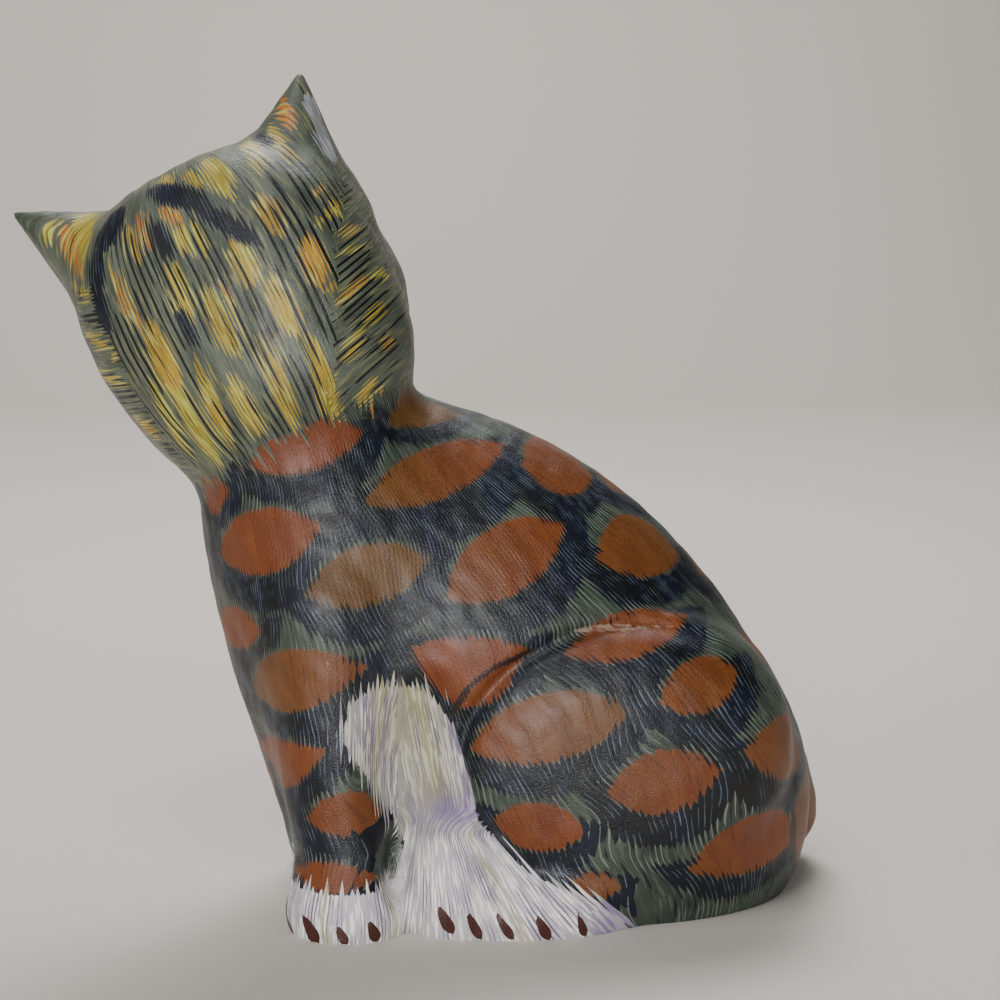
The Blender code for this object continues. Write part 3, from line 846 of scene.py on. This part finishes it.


# The white fur: a bib on the flank behind the foreleg, a hind foot and two front paws, in long
# cream strokes over lavender, with deeper lilac painted as shade in the creases and at the heel's
# end, and the maroon claws along their edge.
BIB = (
    (341, 726), (347, 704), (362, 692), (385, 685), (408, 684), (428, 690), (444, 706), (457, 728),
    (466, 752), (474, 786), (482, 822), (486, 850), (440, 856), (404, 850), (394, 822), (374, 790),
    (350, 760), (340, 742),
)
HIND_FOOT = (
    (404, 824), (440, 818), (482, 820), (504, 846), (530, 870), (562, 886), (598, 900), (626, 918),
    (636, 960), (380, 960), (394, 890),
)
RECESS = (
    (398, 826), (420, 820), (414, 844), (406, 862), (396, 886), (390, 910), (384, 884), (382, 856),
)
WHITE_PAW_TOP = 9.0
PAW_BACK = -27.5
CLAWS = (
    (438, 903, 452, 936, 7), (464, 909, 480, 940, 6), (495, 908, 512, 944, 8),
    (536, 910, 549, 944, 8), (577, 910, 586, 938, 6), (303, 914, 317, 948, 8),
    (337, 923, 346, 948, 6), (367, 918, 378, 946, 8), (285, 912, 291, 938, 5),
)

# Claws on the front of the fore paws, which can't be seen from there: how far to the left they are
HIDDEN_CLAWS = (-18.5, -13.0, -7.5)
CLAW_REACH = 4.0
CLAW_ENDS = (6.0, 1.0)

# In the picture's pixels: where the bib's top frays, where the foot's top frays, the bib's yellow
# middle (a point, its lean and its half width) and where it ends, where the foot turns whitest, and
# where lilac is painted as shade: the ankle's crease, the end of the heel and the bib's edge
BIB_TOP = (715.0, 692.0)
FOOT_TOP = (815.0, 850.0)
MIDDLE = (410.0, 720.0, 0.25, 32.0)
MIDDLE_END = (835.0, 800.0)
FOOT_WHITEST = (824.0, 850.0)
ANKLE_SHADE = (812.0, 20.0, 405.0, 445.0)
HEEL_SHADE = ((575.0, 615.0), (860.0, 890.0))
BIB_EDGE_SHADE = (400.0, 380.0)


def inside_outline(pixels, outline):
    """Signed distance in millimetres to a closed outline in pixels, above zero inside it."""
    corners = np.array(outline, float)
    least = np.full(len(pixels), 1e9)
    within = np.zeros(len(pixels), bool)
    for (ax, ay), (bx, by) in zip(corners, np.roll(corners, -1, axis=0)):
        edge = np.array([bx - ax, by - ay])
        away = pixels - np.array([ax, ay])
        share = np.clip(away @ edge / (edge @ edge), 0.0, 1.0)
        least = np.minimum(least, np.linalg.norm(away - share[:, None] * edge, axis=1))
        crosses = (pixels[:, 1] < ay) != (pixels[:, 1] < by)
        slope = (bx - ax) / (by - ay if by != ay else 1e-9)
        within ^= crosses & (pixels[:, 0] < ax + slope * (pixels[:, 1] - ay))
    return np.where(within, least, -least) / PIXELS_PER_MM


near_side = np.where(surface[:, 1:2] > 0.0, surface * (1.0, -1.0, 1.0), surface)
chart, _ = pictured(near_side)
u, v = chart.T
flank = np.abs(surface[:, 1]) > 4.0
on_paw = surface[:, 0] < PAW_BACK
bib, foot = inside_outline(chart, BIB), inside_outline(chart, HIND_FOOT)
paw = np.minimum(WHITE_PAW_TOP - surface[:, 2], PAW_BACK - surface[:, 0])
white = np.maximum(np.where(flank, np.maximum(bib, foot), OUTSIDE), paw)
fray = 0.8 * ramp(v, *BIB_TOP) + 0.2 + 0.5 * ramp(v, *FOOT_TOP)
fray = np.where(on_paw, 0.8, fray)
middle = np.exp(-((u - MIDDLE[0] - MIDDLE[2] * (v - MIDDLE[1])) / MIDDLE[3]) ** 2)
middle = middle * ramp(v, *MIDDLE_END) - 0.6 * ramp(v, *FOOT_WHITEST)
recess = np.where(flank, inside_outline(chart, RECESS), OUTSIDE)
claws = np.full(len(surface), OUTSIDE)
claw_patches = [patch for patch, in stroke_patches(CLAWS)]
for y in HIDDEN_CLAWS:
    off = np.abs(surface[:, 1] - y) + 0.2 * surface[:, 0]
    ends = [np.argmin(off + np.abs(surface[:, 2] - z)) for z in CLAW_ENDS]
    claw_patches.append(Patch(*surface[ends], unit(normals[ends].sum(axis=0)), bulge=(1.1, 1.1)))
for patch in claw_patches:
    along, down, off = patch.shares(near_side)
    width = patch.up_bulge * (0.62 + 0.38 * np.clip(along, -1.0, 1.0))
    inside = np.maximum(width * (1.0 - np.abs(along) ** 3.0) - np.abs(down), OUTSIDE)
    claws = np.maximum(claws, inside - np.maximum(off - CLAW_REACH, 0.0))
keep("white_fur", white, middle, claws)
keep("spots", spot, np.minimum(band, -1.0 - recess), olive)
# Where deeper lilac is painted as shade: in the crease at the ankle, at the far end of the heel,
# and along the bib's edge beside the foreleg
ankle_shade = 0.9 * np.exp(-((v - ANKLE_SHADE[0]) / ANKLE_SHADE[1]) ** 2) * ramp(u, *ANKLE_SHADE[2:])
heel_shade = ramp(u, *HEEL_SHADE[0]) * ramp(v, *HEEL_SHADE[1])
bib_edge_shade = 0.8 * ramp(bib, 1.8, 0.2) * ramp(u, *BIB_EDGE_SHADE) * (surface[:, 0] > PAW_BACK)
keep("white_edge", fray, spread(turned_away, 12), np.maximum(np.maximum(ankle_shade, heel_shade), bib_edge_shade))
keep("wear_and_shade", scratches, crease_shadows, recess)

# On the bib the strokes fall straight, on the hind foot they fan out from above the heel, and on
# the front paws they run down round the leg's own upright.
FOOT_FAN = (428.0, 752.0)
FOOT_FAN_GIRTH = 26.0
PAW_GIRTH = 10.0
BIB_LEAN = 0.2
BIB_FOOT = (440.0, 822.0)
bib_across = (u - BIB_FOOT[0] - BIB_LEAN * (v - BIB_FOOT[1])) / PIXELS_PER_MM
bib_along = (v - FOOT_FAN[1]) / PIXELS_PER_MM
foot_across = FOOT_FAN_GIRTH * np.arctan2(u - FOOT_FAN[0], np.maximum(v - FOOT_FAN[1], 1.0))
foot_along = np.hypot(u - FOOT_FAN[0], v - FOOT_FAN[1]) / PIXELS_PER_MM
on_foot = ramp(v, 806.0, 838.0)
leg = FORELEG[1]
paw_across = PAW_GIRTH * np.arctan2(np.abs(surface[:, 1]) - leg[1], leg[0] - surface[:, 0])
white_across = np.where(on_paw, paw_across, bib_across + (foot_across - bib_across) * on_foot)
white_along = np.where(on_paw, -surface[:, 2], bib_along + (foot_along - bib_along) * on_foot)
keep("white_lie", white_across, white_along, np.where(surface[:, 1] > 0.0, PARTING, 0.0))


# The paint, put on with fine brushes: washes first, then strokes a hair wide, then a satin varnish
# that pools a little between the strokes. The nodes read where each point lies along its stroke
# and how deep it is inside each patch, and fray the patches' edges into strokes.
HAIR = 0.62
LOCK = 1.7
BRISTLE = 0.0003


def paint(red, green, blue):
    """A paint's colour from screen values out of 255: below 0.04045 v / 12.92, and above it
    ((v + 0.055) / 1.055) to the power 2.4."""
    shares = np.array([red, green, blue]) / 255.0
    light = np.where(shares > 0.04045, ((shares + 0.055) / 1.055) ** 2.4, shares / 12.92)
    return (*light.tolist(), 1.0)


class Shade:
    """A number, vector or colour in the paint's nodes. Sums on numbers add Math nodes."""

    tree = None

    def __init__(self, socket):
        self.socket = socket

    @classmethod
    def node(cls, kind, sockets, output=0, **settings):
        """Any node: its settings first, then the values or links of its sockets."""
        made = cls.tree.nodes.new("ShaderNode" + kind)
        for name, value in settings.items():
            setattr(made, name, value)
        for name, value in sockets.items():
            if isinstance(value, Shade):
                cls.tree.links.new(value.socket, made.inputs[name])
            else:
                made.inputs[name].default_value = value
        return cls(made.outputs[output])

    def math(self, operation, *others):
        """A Math node on this number and others."""
        return self.node("Math", dict(enumerate((self, *others))), operation=operation)

    def __add__(self, other):
        return self.math("ADD", other)

    def __sub__(self, other):
        return self.math("SUBTRACT", other)

    def __rsub__(self, other):
        return self.node("Math", {0: other, 1: self}, operation="SUBTRACT")

    def __mul__(self, other):
        return self.math("MULTIPLY", other)

    def __truediv__(self, other):
        return self.math("DIVIDE", other)

    def __gt__(self, other):
        return self.math("GREATER_THAN", other)

    def __lt__(self, other):
        return self.math("LESS_THAN", other)

    __radd__ = __add__
    __rmul__ = __mul__

    def least(self, other):
        return self.math("MINIMUM", other)

    def most(self, other):
        return self.math("MAXIMUM", other)

    def ramp(self, low, high):
        """A smooth step from 0 at low to 1 at high."""
        return self.node("MapRange", {0: self, 1: low, 2: high}, interpolation_type="SMOOTHSTEP")

    def over(self, below, above):
        """A colour: below where this is 0, above where it is 1. Three numbers are a paint."""
        tones = [tone if isinstance(tone, Shade) else paint(*tone) for tone in (below, above)]
        return self.node("Mix", {0: self, 6: tones[0], 7: tones[1]}, 2, data_type="RGBA")

    def pick(self, below, above):
        """A vector: below where this number is 0, above where it is 1."""
        return self.node("Mix", {0: self, 4: below, 5: above}, 1, data_type="VECTOR")

    def parts(self):
        """A vector's three numbers."""
        return [self.node("SeparateXYZ", {0: self}, k) for k in range(3)]


def stored(name):
    """A vector that the mesh keeps at each point."""
    return Shade.node("Attribute", {}, 1, attribute_name=name)


def grain(lie, across, along, seed=0.0, detail=1.0, depth=1.0):
    """Noise stretched along the strokes: across, along and depth are its sizes, in lie's unit."""
    scale = (1.0 / across, 1.0 / along, 1.0 / depth)
    size = Shade.node("VectorMath", {0: lie, 1: scale}, operation="MULTIPLY")
    moved = Shade.node("VectorMath", {0: size, 1: (seed, 0.7 * seed, 0.3 * seed)}, operation="ADD")
    return Shade.node("TexNoise", {"Vector": moved, "Scale": 1.0, "Detail": detail})


class Strokes:
    """Side by side strokes of one width: how near a point is to its stroke's middle line, 1 there
    and 0 between two strokes, and a random number for each stroke."""

    def __init__(self, lie, width, seed):
        bend = grain(lie, 12.0 * width, 20.0 * width, seed) - 0.5
        x, self.along, side = lie.parts()
        place = x / width + bend * 1.2 + side * 31.0 + seed * 57.0
        self.count = place.math("FLOOR")
        self.ridge = 1.0 - (place.math("FRACT") * 2.0 - 1.0).math("ABSOLUTE")
        self.chance = Shade.node("TexWhiteNoise", {"W": self.count}, noise_dimensions="1D")

    def teeth(self, reach):
        """How far each stroke runs past an edge, in millimetres, pointed at its tip."""
        return self.chance * self.ridge * reach

    def runs(self, share, length, seed):
        """Where each stroke's own lines begin and end: 1 along a share of it, tapering to 0."""
        place = Shade.node("CombineXYZ", {0: self.count * 7.31 + seed, 1: self.along / length})
        run = Shade.node("TexNoise", {"Vector": place, "Scale": 1.0, "Detail": 0.0})
        edge = 0.68 - 0.36 * share
        return run.ramp(edge, edge + 0.14)

    def lines(self, share, length, seed, thick):
        """Lines with tapering ends down the middle of a share of the strokes."""
        return self.ridge > 1.0 - self.runs(share, length, seed) * thick

    def gaps(self, share, length, seed, thick):
        """The same between the strokes."""
        return self.ridge < self.runs(share, length, seed) * thick


def coated(colour, *coats):
    """A colour under coats of paint: each coat is how much of it lies there, and its paint."""
    for share, tone in coats:
        colour = share.over(colour, tone)
    return colour


material = bpy.data.materials.new("painted_fur")
material.use_nodes = True
Shade.tree = material.node_tree
body_fur, head_fur = stored("body_lie"), stored("head_lie")
cheek_fur, white_lie, face_fur = stored("cheek_lie"), stored("white_lie"), stored("face_lie")
in_face, in_muzzle, in_lining = stored("face").parts()
rightward, forward, upward = stored("head_place").parts()
beside = rightward.math("ABSOLUTE")
fray, unseen, lilac_shade = stored("white_edge").parts()
in_head, in_cheek, in_mark = stored("regions").parts()
in_spot, in_band, olive_share = stored("spots").parts()
in_feather, orange_share, in_hairs = stored("feathers").parts()
in_white, white_middle, in_claw = stored("white_fur").parts()

head_mask = in_head + Strokes(head_fur, 1.1, 0.37).teeth(5.5) > 1.6
cheek_mask = in_cheek + Strokes(head_fur, 1.1, 0.71).teeth(2.5) > 0.8
face_mask = in_face + Strokes(face_fur, 1.1, 0.47).teeth(3.0) > 1.0
white_mask = in_white + Strokes(white_lie, 0.8, 0.83).teeth(4.2) * fray > 0.7
white_mask = white_mask * (1.0 - head_mask)
head_lies = face_mask.pick(cheek_mask.pick(head_fur, cheek_fur), face_fur)
fur = head_mask.pick(white_mask.pick(body_fur, white_lie), head_lies)
fine = Strokes(fur, HAIR, 0.13)
coarse = Strokes(fur, LOCK, 0.53)
comb = (fine.chance * 0.6 + 0.4) * fine.ridge * 1.9
teeth = comb + coarse.teeth(0.7)
wash = grain(fur, 2.2, 9.0, 2.0, 2.0)
streak = grain(fur, 0.34, 4.0, 5.0, 1.0)
soaked = wash.ramp(0.3, 0.7)
skin = grain(Shade.node("TexCoord", {}, 3), BRISTLE, BRISTLE, 9.0, 2.0, BRISTLE)

half_streak = streak.ramp(0.50, 0.70) * 0.5
ground = coated(soaked.over((38, 47, 40), (56, 65, 54)),
                (half_streak, (82, 93, 80)),
                (fine.lines(0.30, 6.0, 3.0, 0.35), (14, 22, 24)),
                (fine.gaps(0.5, 8.0, 5.0, 0.26), (104, 112, 102)))
rust = soaked.over((102, 42, 9), (114, 53, 16))
spot_colour = coated(olive_share.over(rust, soaked.over((82, 54, 20), (94, 66, 28))),
                     (skin.ramp(0.52, 0.68) * 0.14, (150, 92, 50)),
                     (skin.ramp(0.48, 0.30) * 0.18, (56, 24, 8)),
                     (fine.lines(0.45, 4.0, 43.0, 0.30) * 0.35, (52, 22, 7)))
dark = soaked.over((1, 3, 5), (6, 13, 32))
hairline = soaked.over((60, 75, 76), (90, 100, 114))

# Where the head can't be seen from there, noise lays out its feathers and hairs
tufts = grain(fur, 4.5, 13.0, 41.0, 0.0)
seen = (1.0 - unseen) * 20.0
feather_depth = in_feather.most(((tufts - 0.5) * 16.0 - 0.4) * unseen - seen)
hair_depth = in_hairs.most((0.56 - tufts) * 16.0 * unseen - seen)
hair_mask = Strokes(fur, 1.05, 0.29).lines(0.80, 15.0, 23.0, 0.38)
yellow = soaked.over((130, 124, 24), (172, 158, 52))
orange = soaked.over((142, 76, 22), (178, 112, 40))
feather_colour = coated((orange_share + (wash - 0.45) * unseen * 2.0).over(yellow, orange),
                        (streak.ramp(0.5, 0.66) * 0.5, (188, 198, 104)),
                        (fine.gaps(0.5, 8.0, 17.0, 0.36), (44, 44, 18)))
head_colour = coated(soaked.over((58, 65, 56), (82, 88, 76)),
                     (half_streak, (128, 128, 82)),
                     (fine.lines(0.22, 8.0, 13.0, 0.3), (16, 21, 17)),
                     (feather_depth + comb * 1.4 + coarse.teeth(1.2) > 1.5, feather_colour),
                     (hair_mask * (hair_depth + comb * 1.5 > -1.2), (2, 4, 5)),
                     (in_mark + teeth > 0.9, fine.gaps(0.4, 8.0, 31.0, 0.3).over(dark, hairline)))

# Lilac painted as shade at the ankle, the heel's end and the bib's edge: it keeps the whitest paint
# and the pale strokes off there and is laid over the cream
bright = white_middle.ramp(0.0, -0.6) * (1.0 - lilac_shade)
golden = white_middle.most(0.0)
top_coat = streak.ramp(0.47, 0.62) * (1.0 - lilac_shade * 0.6 - golden * 0.45)
cream = coated(soaked.over((122, 113, 140), (152, 148, 142)),
               (bright * 0.55, (212, 206, 212)),
               (coarse.chance.ramp(0.6, 0.9) * 0.5, (180, 176, 110)),
               (golden * (coarse.chance * 0.7 + 0.3), (150, 146, 84)),
               (lilac_shade * 0.9, (124, 110, 152)),
               (top_coat, bright.over((206, 202, 186), (240, 238, 230))),
               (fine.gaps(0.55, 10.0, 37.0, 0.35), (104, 94, 118)))
lavender = coated(soaked.over((90, 92, 92), (142, 144, 146)),
                  (streak.ramp(0.5, 0.68) * 0.6, (176, 176, 180)))

in_scratch, in_crease_shadow, in_recess = stored("wear_and_shade").parts()
worn = grain(body_fur, 0.5, 0.9, 61.0, 2.0)
muzzle_mask = (in_muzzle + comb * 1.2 > 1.0) * face_mask * head_mask
colour = coated(ground,
                ((in_spot + comb * 0.5).ramp(0.1, 0.9), spot_colour),
                (in_band + teeth > 1.1, fine.gaps(0.5, 3.5, 11.0, 0.26).over(dark, hairline)),
                # Painted shadow: dark brown laid into the creases in front of the thigh and along
                # the tail
                (in_crease_shadow + comb * 0.3 > 0.0, (40, 16, 8)),
                ((in_scratch + worn - 0.5).ramp(-0.05, 0.25) * 0.7, (150, 130, 112)),
                (in_recess.ramp(-1.6, 0.2), (44, 56, 48)),
                (head_mask, head_colour),
                (white_mask.most(muzzle_mask), cream),
                ((in_lining + comb * 0.8 > 0.6) * head_mask, lavender),
                ((in_claw > 0.0) * (1.0 - head_mask), (62, 24, 16)))

# The eyes are almonds with a dark rim, a green gold iris and an upright pupil; the nose is dull
# pink, with a dark line down to the mouth.
PUPIL = (1.0, 2.5)
RIM = 0.8
slant = radians(EYE_SLANT)
eye_x = (beside - EYE[0][0]) * cos(slant) + (upward - EYE[0][2]) * sin(slant)
eye_y = (upward - EYE[0][2]) * cos(slant) - (beside - EYE[0][0]) * sin(slant)
in_eye = (1.0 - (eye_x / EYE_SPREAD[0]).math("POWER", 2.0)) * EYE_SPREAD[1] - eye_y.math("ABSOLUTE")
in_eye = in_eye.least((forward - 10.0) * 2.0)
pupil = 1.0 - (eye_x / PUPIL[0]).math("POWER", 2.0) - (eye_y / PUPIL[1]).math("POWER", 2.0)
glint = 0.55 - (eye_x + 0.9).math("ABSOLUTE") - (eye_y - 1.1).math("ABSOLUTE")
iris = eye_y.ramp(-2.5, 2.5).over((150, 140, 40), (86, 104, 36))
in_nose = 1.0 - beside / 3.4 + (upward - NOSE_UP - 1.4) * 0.12
in_nose = in_nose.least(1.6 - (upward - NOSE_UP - 0.2).math("ABSOLUTE")).least(forward - 22.0)
mouth_drop = (beside - MOUTH_BEND).math("ABSOLUTE") * MOUTH_DROP
mouth = 0.35 - (upward - MOUTH_UP - mouth_drop).math("ABSOLUTE")
mouth = mouth.least(6.4 - beside).most((0.3 - beside).least(1.8 - (upward + 12.6).math("ABSOLUTE")))
mouth = mouth.least(forward - 15.0)
for inside, shade in ((in_eye + RIM, (5, 6, 8)), (in_eye, iris), (pupil.least(in_eye), (2, 2, 3)),
                      (glint.least(in_eye), (226, 226, 220)), (in_nose + 0.35, (20, 12, 12)),
                      (in_nose, (128, 66, 58)), (mouth, (30, 16, 16))):
    colour = ((inside > 0.0) * head_mask).over(colour, shade)

height = skin * 0.8 + streak * 0.2 + fine.ridge * 0.14
bump = Shade.node("Bump", {"Strength": 0.5, "Distance": 0.0003, "Height": height})
gloss = skin.ramp(0.3, 0.7) * 0.14 + 0.36
shader = material.node_tree.nodes["Principled BSDF"]
for name, value in (("Base Color", colour), ("Roughness", gloss), ("Normal", bump)):
    Shade.tree.links.new(value.socket, shader.inputs[name])
shader.inputs["Specular IOR Level"].default_value = 0.38
shader.inputs["Coat Weight"].default_value = 0.08
shader.inputs["Coat Roughness"].default_value = 0.25
cat.data.materials.append(material)

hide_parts("cat")
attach(cat, "root")


# The floor and the wall behind: one plain pale sheet, curved up at the back.
FLOOR_REACH = 1.5
WALL_HEIGHT = 2.4
COVE = 0.6
SHEET_STEPS = 40


def curved_sheet(reach, height, cove):
    """Runs flat along y to reach, turns up on a quarter circle of radius cove, and rises to height;
    the same profile is carried along x."""
    angle = np.linspace(0.0, np.pi / 2.0, SHEET_STEPS)
    y = np.concatenate([[-2.0 * reach], reach + cove * np.sin(angle), [reach + cove]])
    z = np.concatenate([[0.0], cove * (1.0 - np.cos(angle)), [height]])
    x = np.array([-3.0 * reach, 3.0 * reach])
    corners = np.stack([np.tile(x, len(y)), np.repeat(y, 2), np.repeat(z, 2)], axis=1)
    first = np.arange(len(y) - 1) * 2
    faces = np.stack([first, first + 1, first + 3, first + 2], axis=1)
    mesh = bpy.data.meshes.new("floor")
    mesh.from_pydata(corners.tolist(), [], faces.tolist())
    mesh.polygons.foreach_set("use_smooth", np.ones(len(faces), bool))
    return placed("floor", mesh)


floor = curved_sheet(FLOOR_REACH, WALL_HEIGHT, COVE)
plain = bpy.data.materials.new("pale_floor")
plain.use_nodes = True
plain.node_tree.nodes["Principled BSDF"].inputs["Base Color"].default_value = paint(206, 200, 192)
plain.node_tree.nodes["Principled BSDF"].inputs["Roughness"].default_value = 0.8
floor.data.materials.append(plain)

# The studio: a low soft light beside the camera, one above and behind, a lamp high in front, a
# weak fill from the left, one for the wall, and a dim even surround. Each has its place and aim in
# metres, its power and its size. The camera stands where the picture above is seen from.
LIGHTS = (
    ("window", (-0.17, -0.99, 0.07), (-0.02, 0.0, 0.06), 10.0, 0.27),
    ("ceiling", (0.00, 0.36, 0.80), (0.0, 0.0, 0.08), 4.2, 0.36),
    ("lamp", (-0.25, -0.45, 0.84), (0.0, 0.0, 0.04), 3.6, 0.45),
    ("side", (-0.80, -0.30, 0.50), (0.0, 0.0, 0.08), 1.0, 0.50),
    ("wall_wash", (0.0, 0.9, 1.6), (0.0, 2.0, 0.5), 30.0, 1.20),
)
for name, place, aim, power, breadth in LIGHTS:
    lamp = bpy.data.lights.new(name, "AREA")
    lamp.energy, lamp.size = power, breadth
    holder = placed(name, lamp)
    holder.location = place
    holder.rotation_euler = (Vector(aim) - Vector(place)).to_track_quat("-Z", "Y").to_euler()
world = bpy.data.worlds.new("surround")
bpy.context.scene.world = world
world.use_nodes = True
world.node_tree.nodes["Background"].inputs["Color"].default_value = paint(226, 228, 232)
world.node_tree.nodes["Background"].inputs["Strength"].default_value = 0.14

camera = bpy.data.cameras.new("camera")
camera.sensor_width = 36.0
camera.lens = 36.0 * LENS_RATIO
camera.clip_start = 0.01
stand = placed("camera", camera)
stand.location = Vector(VIEW_PLACE) * MM
stand.rotation_euler = Vector(Eye.forward).to_track_quat("-Z", "Y").to_euler()
bpy.context.scene.camera = stand
